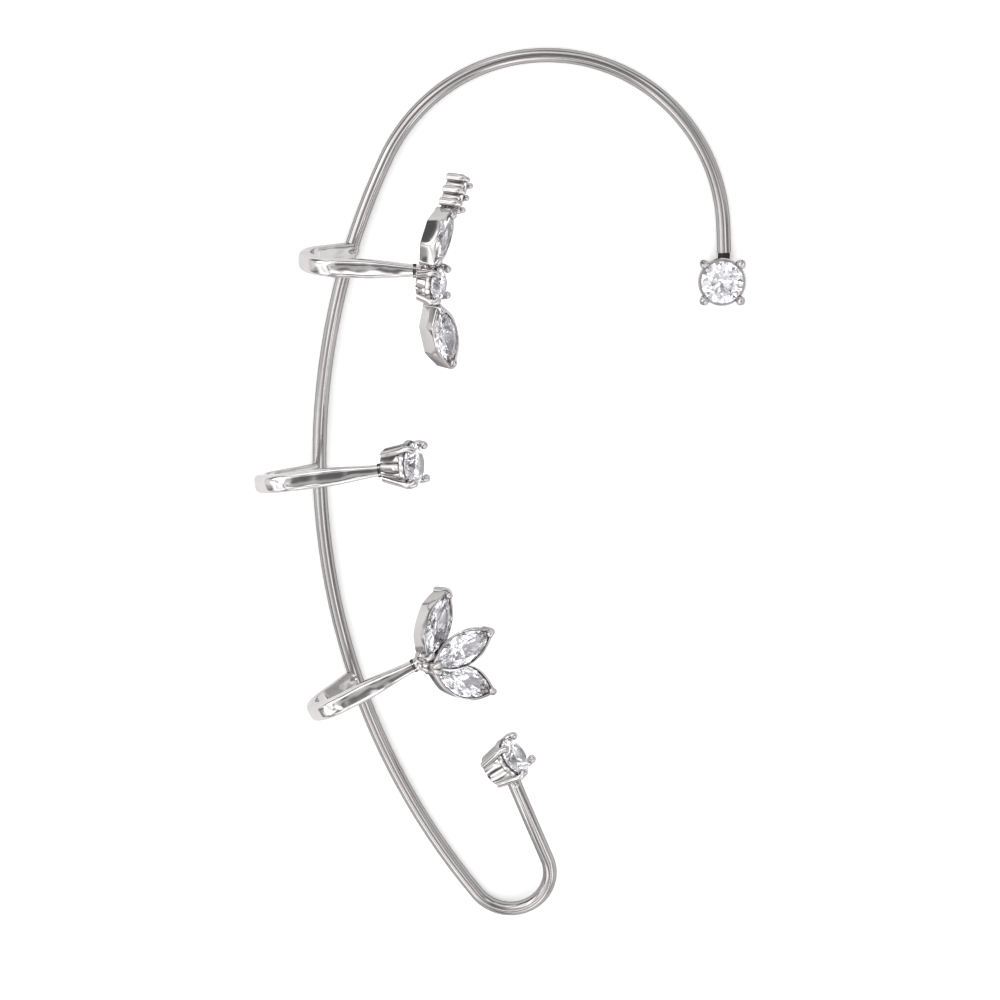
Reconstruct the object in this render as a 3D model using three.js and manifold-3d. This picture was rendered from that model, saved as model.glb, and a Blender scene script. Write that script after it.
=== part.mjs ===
// Ear cuff in polished silver-coloured metal with clear stones.
// Millimetres, +Z up. It lies on its side: the wire is level on the floor, and the bands
// rise from it and fold back over it, so the stones they carry are on top.
// All the metal is soldered together and is one solid. Each stone is a solid of its own.
import * as THREE from "three";
import { mergeVertices } from "three/addons/utils/BufferGeometryUtils.js";
import Module from "manifold-3d";

const wasm = await Module();
wasm.setup();

// ---- Wire ----
const WIRE_DIAMETER = 1.0;
const WIRE_SIDES = 12;
const WIRE_START = { x: 16.02, y: 17.0, heading: 92.5 };
// The wire's route, leg by leg: a straight has a length, a bend has a radius and a turn in degrees.
const WIRE_LEGS = [
  { length: 2.8, steps: 1 }, // up from the top end stone
  { radius: 12.6, turn: 152, steps: 16 }, // over the top of the ear
  { radius: 51, turn: 64.5, steps: 8 }, // down the back of the ear
  { radius: 3.0, turn: 163, steps: 13 }, // hook round the lobe
  { length: 7.1, steps: 4 }, // up the front of the lobe
];
const RISING_LEGS = 2; // the last two legs climb off the floor
const WIRE_RISE = 2.1;

// ---- Bands ----
const BAND_SIDES = 12;
const BAND_STEPS = 15;
const BAND_THICKNESS = 0.9;
const BAND_WIDTH_AT_WIRE = 1.1;
const BAND_WIDTH_AT_BEND = 1.25;
const BAND_WIDTH_AT_STONES = 0.78;
const BAND_LEAVES_AT = 140; // degrees up from the floor, away from the stones
const BAND_BEND_RADIUS = 2.5;
// heading turns the band about the vertical and lean tips it toward +Y.
// far is its straight from the wire to the bend, reach its straight back over the wire.
const BANDS = [
  { name: "top", x: -10.55, y: 18.15, heading: -2, lean: -8, far: 2.9, reach: 5.95 },
  { name: "middle", x: -13.15, y: 2.25, heading: 7.6, lean: 3, far: 3.75, reach: 6.75 },
  { name: "lower", x: -10.7, y: -13.0, heading: 28, lean: -2, far: 2.85, reach: 6.0 },
];

// ---- Settings ----
const STONE_GAP = 0.09;
const WALL = 0.25;
const PRONG_RADIUS = 0.24;
const PRONG_SIDES = 6;
const BEAD_RADIUS = 0.33;
const BOAT_ARC_SIDES = 6;
const FLAT_SHARE = 0.45; // how much of a cup's length its middle flats take

// Round stones: pavilion and crown depths and table width are fractions of the stone's diameter.
const PAVILION = 0.43;
const CROWN = 0.15;
const TABLE = 0.58;
const ROUND_SIDES = 12;

// Each round setting: stone diameter, radius at its back, height to the stone's girdle.
const LARGE_ROUND = { stone: 3.0, back: 1.2, girdle: 2.1 };
const LOBE_ROUND = { stone: 2.8, back: 1.28, girdle: 2.15 };
const STRIP_ROUND = { stone: 2.35, back: 1.15, girdle: 1.3 };
const RIM_BEYOND_STONE = 0.18;
const PRONG_BEYOND_STONE = 0.2;

// The pair of tiny round stones at the strip's end shares one rail.
const TINY_ROUND = { stone: 0.85, girdle: 1.3 };
const TINY_PITCH = 0.95;
const RAIL_LENGTH = 2.1;
const RAIL_WIDTH = 0.95;
const RAIL_PRONG_OUT = 0.58;

// Each boat-shaped setting: the stone's length and width and the height to its girdle.
const UPPER_BOAT = { length: 3.5, width: 1.75, girdle: 1.1 };
const LOWER_BOAT = { length: 4.0, width: 2.0, girdle: 1.35 };
const PETAL_BOAT = { length: 4.5, width: 2.2, girdle: 1.15 };

// Where each setting's back is, and how it points.
// heading and lift aim the stone's axis; spin turns the setting about that axis.
const ROUND_SETTINGS = [
  { name: "top_end", size: LARGE_ROUND, x: 15.75, y: 15.95, z: 0, heading: 0, lift: 90, spin: 0 },
  { name: "middle", size: LARGE_ROUND, x: -7.95, y: 3.6, z: 7.1, heading: 4, lift: 20, spin: 0 },
  { name: "lobe_end", size: LOBE_ROUND, x: -0.5, y: -19.45, z: 2.7, heading: 38, lift: 21, spin: 0 },
  { name: "strip", size: STRIP_ROUND, x: -5.45, y: 16.3, z: 6.8, heading: -5, lift: 20, spin: 10 },
];
const BOAT_SETTINGS = [
  { name: "upper", size: UPPER_BOAT, x: -4.9, y: 19.5, z: 6.3, heading: -7, lift: 28, spin: -22 },
  { name: "lower", size: LOWER_BOAT, x: -4.75, y: 12.65, z: 5.9, heading: -5, lift: 45, spin: 23 },
  { name: "petal_upper", size: PETAL_BOAT, x: -5.2, y: -7.95, z: 5.5, heading: 0, lift: 45, spin: -22 },
  { name: "petal_middle", size: PETAL_BOAT, x: -3.1, y: -9.7, z: 5.5, heading: 8, lift: 66, spin: -72 },
  { name: "petal_lower", size: PETAL_BOAT, x: -3.1, y: -12.2, z: 5.3, heading: 20, lift: 60, spin: -131 },
];
const RAIL = { x: -3.83, y: 22.46, z: 4.9, heading: -8, lift: 18, spin: -27 };

// Short bars that join neighbouring settings low down, near their backs.
const LINK_RADIUS = 0.3;
const LINK_HEIGHT = 0.4;

// An arc in a shape gets twice as many sides as the segments it is asked for.
const ARC_SHARE = 2;

const rad = THREE.MathUtils.degToRad;
const mix = THREE.MathUtils.lerp;

// ---- Solids ----

// A closed three.js geometry as a solid that can be joined and cut.
function solid(geometry) {
  const bare = geometry.clone();
  bare.deleteAttribute("normal");
  bare.deleteAttribute("uv");
  const merged = mergeVertices(bare, 1e-4);
  const mesh = new wasm.Mesh({
    numProp: 3,
    vertProperties: merged.attributes.position.array,
    triVerts: new Uint32Array(merged.index.array),
  });
  return new wasm.Manifold(mesh);
}

function joined(solids) {
  return wasm.Manifold.union(solids);
}

// A solid as a three.js geometry again.
function geometryOf(shape) {
  const mesh = shape.getMesh();
  const geometry = new THREE.BufferGeometry();
  geometry.setAttribute("position", new THREE.BufferAttribute(mesh.vertProperties, 3));
  geometry.setIndex(new THREE.BufferAttribute(mesh.triVerts, 1));
  geometry.computeVertexNormals();
  return geometry;
}

function moved(shape, matrix) {
  return shape.transform(matrix.elements);
}

// A setting's own frame: Z along the stone's axis, X along the setting's length.
function settingMatrix({ x, y, z, heading, lift, spin }) {
  const h = rad(heading);
  const l = rad(lift);
  const s = rad(spin);
  const axis = new THREE.Vector3(Math.cos(l) * Math.cos(h), Math.cos(l) * Math.sin(h), Math.sin(l));
  const level = new THREE.Vector3(-Math.sin(h), Math.cos(h), 0);
  const upward = axis.clone().cross(level);
  const along = level.multiplyScalar(Math.cos(s)).addScaledVector(upward, Math.sin(s));
  const across = axis.clone().cross(along);
  return new THREE.Matrix4().makeBasis(along, across, axis).setPosition(x, y, z);
}

// ---- Routes ----

function legLength(leg) {
  return leg.length ?? leg.radius * Math.abs(rad(leg.turn));
}

// The point and heading a part of the way along one leg.
function alongLeg(from, leg, part) {
  if (leg.length !== undefined) {
    return {
      x: from.x + Math.cos(from.heading) * leg.length * part,
      y: from.y + Math.sin(from.heading) * leg.length * part,
      heading: from.heading,
    };
  }
  const radius = leg.radius * Math.sign(leg.turn);
  const heading = from.heading + rad(leg.turn) * part;
  return {
    x: from.x + radius * (Math.sin(heading) - Math.sin(from.heading)),
    y: from.y - radius * (Math.cos(heading) - Math.cos(from.heading)),
    heading,
  };
}

// Walks a route. t runs from 0 to 1 in equal shares of the legs' steps.
function walk(start, legs, t) {
  const total = legs.reduce((sum, leg) => sum + leg.steps, 0);
  let place = { x: start.x, y: start.y, heading: rad(start.heading) };
  let stepsLeft = t * total;
  let length = 0;
  for (const leg of legs) {
    const part = Math.min(stepsLeft / leg.steps, 1);
    place = alongLeg(place, leg, part);
    length += legLength(leg) * part;
    stepsLeft -= leg.steps;
    if (stepsLeft <= 1e-9) break;
  }
  return { ...place, length };
}

// ---- Wire ----

class WireRoute extends THREE.Curve {
  constructor() {
    super();
    const lengths = WIRE_LEGS.map(legLength);
    this.total = lengths.reduce((a, b) => a + b, 0);
    this.rising = lengths.slice(-RISING_LEGS).reduce((a, b) => a + b, 0);
  }

  getPoint(t) {
    const place = walk(WIRE_START, WIRE_LEGS, t);
    const climbed = (place.length - this.total + this.rising) / this.rising;
    const z = WIRE_DIAMETER / 2 + WIRE_RISE * THREE.MathUtils.smoothstep(climbed, 0, 1);
    return new THREE.Vector3(place.x, place.y, z);
  }

  // The stations are spaced by the legs' steps, not by length.
  getPointAt(t) {
    return this.getPoint(t);
  }

  getTangentAt(t) {
    return this.getTangent(t);
  }
}

function wireSolid() {
  const section = new THREE.Shape();
  section.absarc(0, 0, WIRE_DIAMETER / 2, 0, 2 * Math.PI);
  const steps = WIRE_LEGS.reduce((sum, leg) => sum + leg.steps, 0);
  return solid(
    new THREE.ExtrudeGeometry(section, {
      steps,
      curveSegments: WIRE_SIDES / ARC_SHARE,
      extrudePath: new WireRoute(),
    }),
  );
}

// ---- Bands ----

const BAND_START = { x: 0, y: 0, heading: BAND_LEAVES_AT };

function bandLegs({ far, reach }) {
  return [
    { length: far, steps: 2 },
    { radius: BAND_BEND_RADIUS, turn: -BAND_LEAVES_AT, steps: 10 },
    { length: reach, steps: 3 },
  ];
}

// The middle of a band, part of the way along it, with the directions of its thickness and width.
function bandPlace(band, t) {
  const place = walk(BAND_START, bandLegs(band), t);
  const h = rad(band.heading);
  const lean = rad(band.lean);
  const forward = new THREE.Vector3(Math.cos(h), Math.sin(h), 0);
  const side = new THREE.Vector3(-forward.y, forward.x, 0);
  const up = new THREE.Vector3(0, 0, Math.cos(lean)).addScaledVector(side, Math.sin(lean));
  const centre = new THREE.Vector3(band.x, band.y, WIRE_DIAMETER / 2);
  centre.addScaledVector(forward, place.x).addScaledVector(up, place.y);
  const thick = forward.clone().multiplyScalar(-Math.sin(place.heading));
  thick.addScaledVector(up, Math.cos(place.heading));
  return { centre, thick, wide: up.clone().cross(forward), length: place.length };
}

// A band widens from the wire to its bend, then narrows to the stones.
function bandWidth(length, bend, total) {
  if (length < bend) return mix(BAND_WIDTH_AT_WIRE, BAND_WIDTH_AT_BEND, length / bend);
  return mix(BAND_WIDTH_AT_BEND, BAND_WIDTH_AT_STONES, (length - bend) / (total - bend));
}

// A straight oval rod of unit length, carried onto the band's own bent and tapered route.
function bandSolid(band) {
  const [straight, turn] = bandLegs(band);
  const bend = straight.length + legLength(turn) / 2;
  const total = bandPlace(band, 1).length;
  const section = new THREE.Shape();
  section.absarc(0, 0, 0.5, 0, 2 * Math.PI);
  const rod = new THREE.ExtrudeGeometry(section, {
    depth: 1,
    steps: BAND_STEPS,
    curveSegments: BAND_SIDES / ARC_SHARE,
    bevelEnabled: false,
  });
  const points = rod.attributes.position;
  for (let i = 0; i < points.count; i++) {
    const { centre, thick, wide, length } = bandPlace(band, points.getZ(i));
    centre.addScaledVector(wide, points.getX(i) * bandWidth(length, bend, total));
    centre.addScaledVector(thick, points.getY(i) * BAND_THICKNESS);
    points.setXYZ(i, centre.x, centre.y, centre.z);
  }
  return solid(rod);
}

// ---- Round stones and their settings ----

// A round stone with its girdle at the given height. grow makes the larger shape its seat is cut with.
function roundStone({ stone, girdle }, grow = 0) {
  const r = stone / 2 + grow;
  const profile = [
    [0, girdle - stone * PAVILION - grow * 1.3],
    [r, girdle - 0.05 - grow],
    [r, girdle + 0.05 + grow],
    [(stone / 2) * TABLE + grow, girdle + stone * CROWN + grow],
    [0, girdle + stone * CROWN + grow],
  ];
  return lathed(profile);
}

function lathed(profile, sides = ROUND_SIDES) {
  const points = profile.map(([r, h]) => new THREE.Vector2(r, h));
  const turned = new THREE.LatheGeometry(points, sides);
  turned.rotateX(Math.PI / 2);
  return solid(turned);
}

// A straight round bar between two points, given as lists.
function bar(from, to, radius) {
  const section = new THREE.Shape();
  section.absarc(0, 0, radius, 0, 2 * Math.PI);
  return solid(
    new THREE.ExtrudeGeometry(section, {
      steps: 1,
      curveSegments: PRONG_SIDES / ARC_SHARE,
      extrudePath: new THREE.LineCurve3(new THREE.Vector3(...from), new THREE.Vector3(...to)),
    }),
  );
}

// A prong: a round post that swells to a bead at its tip, where it bears on the stone's edge.
function prong(foot, tip) {
  const from = new THREE.Vector3(...foot);
  const line = new THREE.Vector3(...tip).sub(from);
  const length = line.length();
  const post = lathed(
    [
      [0, 0],
      [PRONG_RADIUS, 0],
      [PRONG_RADIUS, length - BEAD_RADIUS],
      [BEAD_RADIUS, length],
      [BEAD_RADIUS * 0.6, length + BEAD_RADIUS * 0.8],
      [0, length + BEAD_RADIUS],
    ],
    PRONG_SIDES,
  );
  const turn = new THREE.Quaternion().setFromUnitVectors(new THREE.Vector3(0, 0, 1), line.normalize());
  return moved(post, new THREE.Matrix4().compose(from, turn, new THREE.Vector3(1, 1, 1)));
}

// A closed cup, a gallery ring above it, and four prongs from the cup's back to over the stone.
function roundSetting({ stone, back, girdle }) {
  const rim = stone / 2;
  const cupHeight = girdle * 0.52;
  const cupRadius = mix(back, rim + 0.1, 0.52);
  const cup = lathed([
    [0, 0],
    [back, 0],
    [cupRadius, cupHeight],
    [cupRadius - WALL, cupHeight],
    [back - WALL, WALL],
    [0, WALL],
  ]);
  const ringOutside = rim + RIM_BEYOND_STONE;
  const ringInside = ringOutside - WALL;
  const ringLow = girdle - 0.5;
  const ringHigh = girdle - 0.2;
  const ring = lathed([
    [ringInside, ringLow],
    [ringOutside, ringLow],
    [ringOutside, ringHigh],
    [ringInside, ringHigh],
    [ringInside, ringLow],
  ]);
  const parts = [cup, ring];
  const foot = back - PRONG_RADIUS * 0.4;
  const tip = rim + PRONG_BEYOND_STONE;
  for (const angle of [45, 135, 225, 315]) {
    const c = Math.cos(rad(angle));
    const s = Math.sin(rad(angle));
    parts.push(prong([foot * c, foot * s, 0.12], [tip * c, tip * s, girdle + stone * CROWN]));
  }
  return joined(parts);
}

// The rail for the two tiny stones: a block with a conical seat for each, and three pairs of prongs.
function railSetting() {
  const { stone, girdle } = TINY_ROUND;
  const long = RAIL_LENGTH / 2;
  const wide = RAIL_WIDTH / 2;
  const outline = new THREE.Shape();
  outline.moveTo(-long, -wide);
  outline.lineTo(long, -wide);
  outline.lineTo(long, wide);
  outline.lineTo(-long, wide);
  const block = new THREE.ExtrudeGeometry(outline, { depth: girdle, bevelEnabled: false });
  const parts = [solid(block)];
  for (const place of [-TINY_PITCH, 0, TINY_PITCH]) {
    for (const side of [-1, 1]) {
      const out = side * RAIL_PRONG_OUT;
      parts.push(prong([place, out, 0.12], [place, out, girdle + stone * CROWN]));
    }
  }
  return joined(parts);
}

// ---- Boat-shaped stones and their settings ----

// The outline of a boat: two arcs that meet at points on the X axis.
function boatOutline(length, width) {
  const half = length / 2;
  const side = width / 2;
  const radius = (half * half + side * side) / (2 * side);
  const sweep = Math.asin(half / radius);
  const outline = new THREE.Shape();
  outline.absarc(0, side - radius, radius, Math.PI / 2 - sweep, Math.PI / 2 + sweep, false);
  outline.absarc(0, radius - side, radius, -Math.PI / 2 - sweep, -Math.PI / 2 + sweep, false);
  return outline;
}

// The outside of a boat-shaped cup has three flats on each side.
function flatSidedOutline(length, width) {
  const outline = new THREE.Shape();
  outline.moveTo(length / 2, 0);
  outline.lineTo(FLAT_SHARE * length / 2, width / 2);
  outline.lineTo(-FLAT_SHARE * length / 2, width / 2);
  outline.lineTo(-length / 2, 0);
  outline.lineTo(-FLAT_SHARE * length / 2, -width / 2);
  outline.lineTo(FLAT_SHARE * length / 2, -width / 2);
  return outline;
}

// A bar whose outline is resized at each level. Levels are heights with a scale each way.
function loft(outline, levels) {
  const steps = levels.length - 1;
  const bar = new THREE.ExtrudeGeometry(outline, {
    depth: steps,
    steps,
    curveSegments: BOAT_ARC_SIDES / ARC_SHARE,
    bevelEnabled: false,
  });
  const points = bar.attributes.position;
  for (let i = 0; i < points.count; i++) {
    const level = levels[Math.round(points.getZ(i))];
    points.setXYZ(i, points.getX(i) * level.long, points.getY(i) * level.wide, level.height);
  }
  return solid(bar);
}

function boatStone({ length, width, girdle }, grow = 0) {
  const long = (length + 2.4 * grow) / length;
  const wide = (width + 2 * grow) / width;
  return loft(boatOutline(length, width), [
    { height: girdle - width * PAVILION - grow, long: 0.45 * long, wide: 0.06 + 2 * grow / width },
    { height: girdle - 0.05 - grow, long, wide },
    { height: girdle + 0.05 + grow, long, wide },
    { height: girdle + width * CROWN + grow, long: TABLE * long, wide: TABLE * wide },
  ]);
}

// A thin boat-shaped cup with a prong over the stone at each point.
function boatSetting({ length, width, girdle }) {
  const outside = loft(flatSidedOutline(length + 3 * WALL, width + 1.4 * WALL), [
    { height: 0, long: 0.88, wide: 0.86 },
    { height: girdle + 0.12, long: 1, wide: 1 },
  ]);
  const inside = loft(boatOutline(length, width), [
    { height: WALL, long: 0.8, wide: 0.65 },
    { height: girdle + 0.2, long: 0.92, wide: 0.9 },
  ]);
  const parts = [outside.subtract(inside)];
  for (const end of [-1, 1]) {
    const tip = end * (length / 2 + 0.08);
    parts.push(prong([end * (length / 2 - 0.1), 0, 0.14], [tip, 0, girdle + width * CROWN]));
  }
  return joined(parts);
}

// ---- Links ----

// A point low down on a setting, the given way along its length from the middle.
function onSetting(setting, along) {
  return new THREE.Vector3(along, 0, LINK_HEIGHT).applyMatrix4(settingMatrix(setting));
}

function link(from, to) {
  return bar(from.toArray(), to.toArray(), LINK_RADIUS);
}

// ---- Assembly ----

function metalMaterial() {
  return new THREE.MeshStandardMaterial({ color: 0xd6d7d9, roughness: 0.12, metalness: 1 });
}

function stoneMaterial() {
  return new THREE.MeshStandardMaterial({ color: 0xf4f6f8, roughness: 0.03, metalness: 0 });
}

const group = new THREE.Group();

function addNode(name, shape, material) {
  const mesh = new THREE.Mesh(geometryOf(shape), material);
  mesh.name = name;
  group.add(mesh);
}

const metal = [wireSolid(), ...BANDS.map(bandSolid)];
const seats = [];

// A stone in its place, and the slightly larger shape that keeps the metal clear of it.
function addStone(name, makeStone, matrix) {
  addNode(name, moved(makeStone(0), matrix), stoneMaterial());
  seats.push(moved(makeStone(STONE_GAP), matrix));
}

for (const setting of ROUND_SETTINGS) {
  const matrix = settingMatrix(setting);
  metal.push(moved(roundSetting(setting.size), matrix));
  addStone(`${setting.name}_round_stone`, (grow) => roundStone(setting.size, grow), matrix);
}
for (const setting of BOAT_SETTINGS) {
  const matrix = settingMatrix(setting);
  metal.push(moved(boatSetting(setting.size), matrix));
  addStone(`${setting.name}_boat_stone`, (grow) => boatStone(setting.size, grow), matrix);
}
metal.push(moved(railSetting(), settingMatrix(RAIL)));
for (const [name, share] of [["lower_tiny_stone", -0.5], ["upper_tiny_stone", 0.5]]) {
  const matrix = settingMatrix(RAIL);
  matrix.multiply(new THREE.Matrix4().makeTranslation(share * TINY_PITCH, 0, 0));
  addStone(name, (grow) => roundStone(TINY_ROUND, grow), matrix);
}
const [upper, lower, ...petals] = BOAT_SETTINGS;
const strip = ROUND_SETTINGS.find((setting) => setting.name === "strip");
const side = STRIP_ROUND.back * 0.8;
metal.push(link(onSetting(RAIL, -RAIL_LENGTH * 0.4), onSetting(upper, UPPER_BOAT.length * 0.47)));
metal.push(link(onSetting(upper, -UPPER_BOAT.length * 0.47), onSetting(strip, side)));
metal.push(link(onSetting(strip, -side), onSetting(lower, LOWER_BOAT.length * 0.47)));
const hub = bandPlace(BANDS[2], 1).centre;
for (const petal of petals) metal.push(link(hub, onSetting(petal, -PETAL_BOAT.length * 0.47)));
addNode("metal_frame", joined(metal).subtract(joined(seats)), metalMaterial());

// The part's origin is under the middle of its own box, on the floor.
const box = new THREE.Box3().setFromObject(group);
group.position.set(-(box.min.x + box.max.x) / 2, -(box.min.y + box.max.y) / 2, -box.min.z);

export default group;
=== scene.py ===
from math import cos, hypot, pi, radians, sin, sqrt

import bmesh
import bpy
from mathutils import Matrix, Vector


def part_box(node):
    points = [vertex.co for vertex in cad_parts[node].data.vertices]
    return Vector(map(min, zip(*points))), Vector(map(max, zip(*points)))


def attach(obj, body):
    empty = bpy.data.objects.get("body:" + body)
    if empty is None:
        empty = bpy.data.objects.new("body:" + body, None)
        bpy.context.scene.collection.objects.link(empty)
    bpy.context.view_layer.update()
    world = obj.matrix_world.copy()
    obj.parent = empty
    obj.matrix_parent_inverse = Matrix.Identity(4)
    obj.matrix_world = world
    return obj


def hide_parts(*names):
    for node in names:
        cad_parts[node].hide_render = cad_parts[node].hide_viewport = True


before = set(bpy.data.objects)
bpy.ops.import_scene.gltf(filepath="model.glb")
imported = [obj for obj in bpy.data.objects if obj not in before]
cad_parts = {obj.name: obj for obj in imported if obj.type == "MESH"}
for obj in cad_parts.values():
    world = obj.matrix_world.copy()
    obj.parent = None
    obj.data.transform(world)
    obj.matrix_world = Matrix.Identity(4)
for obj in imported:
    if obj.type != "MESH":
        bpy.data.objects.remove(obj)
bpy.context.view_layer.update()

MM = 0.001

# Places count from the point on the floor that the camera looks at, which is this far from the
# middle of the top end stone.
AIM_FROM_TOP_STONE = Vector((-15.75, -15.95))

# ---- Sizes ----

WIRE_RADIUS = 0.5
# The place and heading at which the wire leaves the top end setting.
WIRE_START = (15.98, 17.95, 92.5)
# Each leg: "straight" with a length, or "bend" with a radius and a turn in degrees; then its steps.
WIRE_LEGS = [
    ("straight", 1.85, 0, 4),
    ("bend", 12.6, 152, 64),
    ("bend", 51, 64.5, 40),
    ("bend", 3.0, 163, 48),
    ("straight", 7.1, 0, 12),
]
# Over its last legs the wire climbs off the floor by this much.
RISING_LEGS = 2
WIRE_RISE = 2.1

BAND_THICKNESS = 0.9
BAND_WIDTH_AT_WIRE = 1.1
BAND_WIDTH_AT_BEND = 1.3
BAND_WIDTH_AT_STONES = 0.78
# A band keeps its full width over this share of its near side, and then narrows.
BAND_FULL_SHARE = 0.55
# The angle at which a band leaves the wire, measured from the way that its near side runs.
BAND_LEAVES_AT = 140
BAND_BEND_RADIUS = 2.5
BANDS = {
    "top": dict(x=-10.55, y=18.15, heading=-2, lean=-8, far=2.9, reach=5.95),
    "middle": dict(x=-13.15, y=2.25, heading=7.6, lean=3, far=3.75, reach=6.75),
    "lower": dict(x=-10.7, y=-13.0, heading=28, lean=-2, far=2.85, reach=6.0),
}

# The metal's thickness in a setting's cup.
WALL = 0.25
# A stone's depth below and above its girdle, and its table, as shares of its width.
PAVILION = 0.43
CROWN = 0.15
TABLE = 0.58
# Half the thickness of its edge, in the same way.
GIRDLE_EDGE = 0.02

LARGE_ROUND = dict(stone=3.0, back=1.2, girdle=2.1)
LOBE_ROUND = dict(stone=2.8, back=1.28, girdle=2.15)
STRIP_ROUND = dict(stone=2.35, back=1.15, girdle=1.3)
TINY_ROUND = dict(stone=0.85, girdle=1.3)
TINY_PITCH = 0.95
RAIL_LENGTH = 2.1
RAIL_PRONG_OUT = 0.58

UPPER_BOAT = dict(length=3.5, width=1.75, girdle=1.1)
LOWER_BOAT = dict(length=4.0, width=2.0, girdle=1.35)
PETAL_BOAT = dict(length=4.5, width=2.2, girdle=1.15)
# The share of a boat-shaped setting's length that its middle flat takes.
FLAT_SHARE = 0.45
# How far a round setting's claws start above its back, so that they stay off the floor.
CLAW_FOOT = 0.09
# How far the gallery ring of a round setting stands out past the stone.
RING_OUT = 0.2
# How much a flute narrows the cup, as a share of its radius.
FLUTE_DEPTH = 0.13

# Flutes in the cup, the cup's height as a share of the girdle's, and the claws.
ROUND_STYLES = {
    "top_end": dict(flutes=12, cup=0.6, bar=0.3, splay=0.32, bead=0.35),
    "middle": dict(flutes=14, cup=0.74, bar=0.28, splay=0.12, bead=0.3),
    "lobe_end": dict(flutes=4, cup=0.74, bar=0.28, splay=0.12, bead=0.3),
    "strip": dict(flutes=12, cup=0.66, bar=0.29, splay=0.1, bead=0.27),
}
# How flat the sides are, how blunt the points, and how much of its width the cup keeps at its back.
STRIP_BOAT_STYLE = dict(flats=0.95, blunt=0.25, waist=1)
PETAL_STYLE = dict(flats=0.35, blunt=0.1, waist=1)
# The middle petal is narrow at its back, to clear the stones on both sides of it.
MIDDLE_PETAL_STYLE = dict(PETAL_STYLE, waist=0.75)

# Where the middle of each setting's back is, and the stone's heading, lift and spin.
ROUND_SETTINGS = {
    "top_end": (LARGE_ROUND, (15.75, 15.95, 0, 0, 90, 0)),
    "middle": (LARGE_ROUND, (-7.95, 3.6, 7.1, 4, 20, 0)),
    "lobe_end": (LOBE_ROUND, (-0.5, -19.45, 2.7, 38, 21, 0)),
    "strip": (STRIP_ROUND, (-5.45, 16.3, 6.8, -5, 20, 10)),
}
BOAT_SETTINGS = {
    "upper": (UPPER_BOAT, (-4.9, 19.5, 6.3, -7, 28, -22)),
    "lower": (LOWER_BOAT, (-4.75, 12.65, 5.9, -5, 45, 23)),
    "petal_upper": (PETAL_BOAT, (-5.2, -7.95, 5.5, 0, 45, -22)),
    "petal_middle": (PETAL_BOAT, (-3.1, -9.7, 5.5, 8, 66, -72)),
    "petal_lower": (PETAL_BOAT, (-3.1, -12.2, 5.3, 20, 60, -131)),
}
BOAT_STYLES = {
    "upper": STRIP_BOAT_STYLE,
    "lower": STRIP_BOAT_STYLE,
    "petal_upper": PETAL_STYLE,
    "petal_middle": MIDDLE_PETAL_STYLE,
    "petal_lower": PETAL_STYLE,
}
RAIL = (-3.83, 22.46, 4.9, -8, 18, -27)

# The drop of solder sits on the wire just before the lobe end's setting.
LOBE_DROP_FROM_WIRE_END = Vector((0.33, -0.75, 0.15))
LOBE_DROP_RADIUS = 0.36
# A dark collar goes where the wire runs in under the top end setting. It is painted shade, standing in
# for the shadow there.
TOP_COLLAR = ((15.95, 17.3, 0.5), (15.98, 17.98, 0.5))
TOP_COLLAR_RADIUS = 0.44
# How far each band's dark collar stays back from the band's end, and its size. The collar is painted
# shade, standing in for the shadow and dark reflection in the recess where the band meets its setting.
JOINT_BACK = {"top": 0.54, "middle": 0.54, "lower": 0.18}
JOINT_LENGTH = 0.24
JOINT_RADIUS = 0.5
# The solder at a band's foot. Its ball is a little larger than the wire, and higher, to stay off
# the floor. A bar runs from it up inside the band, and gets narrower.
ROOT_LENGTH = 0.95
ROOT_RADII = (0.56, 0.42)
ROOT_BALL = 0.54
ROOT_BALL_LIFT = 0.05
# The bars that join settings meet them this high above their backs, and this share of a boat's
# length from its middle.
LINK_HEIGHT = 0.4
LINK_REACH = 0.47
LINK_RADIUS = 0.3
# The hub that joins the petals, and its arms, which get narrower.
HUB_RADIUS = 0.5
HUB_ARM_RADII = (0.36, 0.3)

# ---- The part's frame ----

top_low, top_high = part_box("top_end_round_stone")
AIM = Vector(((top_low[0] + top_high[0]) / 2, (top_low[1] + top_high[1]) / 2, 0))
AIM += Vector((AIM_FROM_TOP_STONE.x, AIM_FROM_TOP_STONE.y, 0)) * MM
TO_PART = Matrix.Translation(AIM) @ Matrix.Scale(MM, 4)


def setting_matrix(place):
    """A setting's own frame: Z along the stone's axis, X along the setting's length."""
    x, y, z, heading, lift, spin = place
    h, l, s = radians(heading), radians(lift), radians(spin)
    axis = Vector((cos(l) * cos(h), cos(l) * sin(h), sin(l)))
    level = Vector((-sin(h), cos(h), 0))
    along = level * cos(s) + axis.cross(level) * sin(s)
    turn = Matrix((along, axis.cross(along), axis)).transposed().to_4x4()
    return Matrix.Translation((x, y, z)) @ turn


# ---- Materials ----


def linear(hex_colour):
    """An sRGB hex colour as linear red, green, blue and alpha."""
    channels = []
    for start in (1, 3, 5):
        value = int(hex_colour[start : start + 2], 16) / 255
        channels.append(value / 12.92 if value <= 0.04045 else ((value + 0.055) / 1.055) ** 2.4)
    return (*channels, 1)


def per_mm(size):
    """The texture scale that gives features of this size in millimetres."""
    return 1 / (size * MM)


def add_node(tree, kind, settings=None, **inputs):
    """Adds one node. A socket given as an input is linked, and anything else is its value."""
    node = tree.nodes.new(kind)
    for name, value in (settings or {}).items():
        setattr(node, name, value)
    for name, value in inputs.items():
        socket = node.inputs[name.replace("_", " ")]
        if isinstance(value, bpy.types.NodeSocket):
            tree.links.new(value, socket)
        else:
            socket.default_value = value
    return node


def new_material(name):
    """A new material and its empty node tree."""
    material = bpy.data.materials.new(name)
    material.use_nodes = True
    material.node_tree.nodes.clear()
    return material, material.node_tree


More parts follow.
